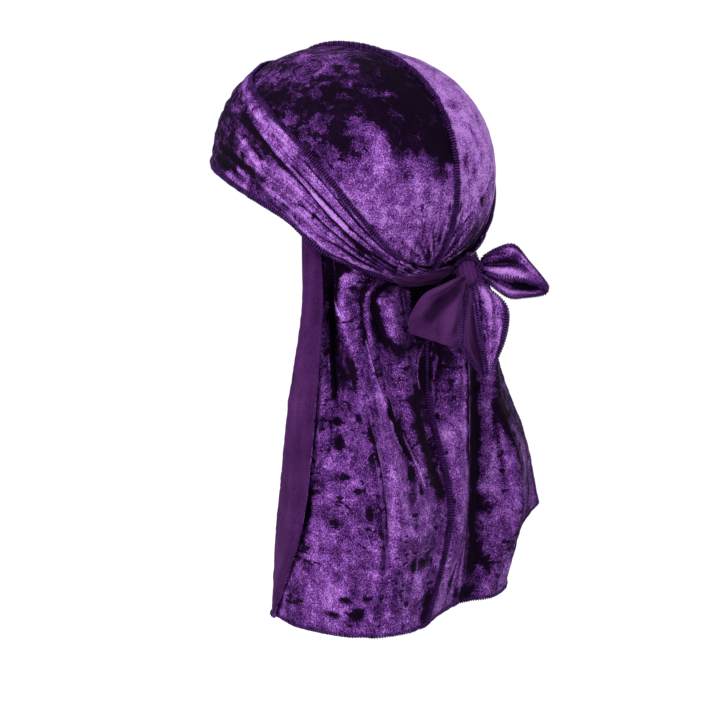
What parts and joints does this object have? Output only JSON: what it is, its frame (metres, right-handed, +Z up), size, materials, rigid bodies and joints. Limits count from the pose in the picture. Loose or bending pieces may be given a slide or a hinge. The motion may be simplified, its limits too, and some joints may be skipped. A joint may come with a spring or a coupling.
{
  "type": "tied velvet durag",
  "caption": "Close-fitting head wrap with a pleated forehead band, raised centre seam, tied bow at the nape and a long folded tail.",
  "frame": {"origin": "inside top of the crown, where it sits on the top of a head", "axes": "+Z up out of the crown, -Y towards the wearer's face, +X towards the wearer's left"},
  "size_m": [0.2279, 0.2031, 0.3572],
  "materials": {
    "velvet": "crushed velvet with a patchy light and dark sheen",
    "reverse": "matt knitted back of the velvet",
    "thread": "dense overlock thread"
  },
  "bodies": {
    "root": {"crown_left": "velvet", "crown_right": "velvet", "crown_seam": "thread", "band_left": "velvet", "band_right": "velvet", "cape_left": "velvet", "cape_right": "velvet", "cape_seam": "thread", "tie_left": "reverse", "tie_right": "reverse", "knot": "reverse", "bow_loop_left": "reverse", "bow_loop_right": "velvet", "tie_end_right": "velvet", "tie_end_left": "reverse"}
  },
  "joints": []
}
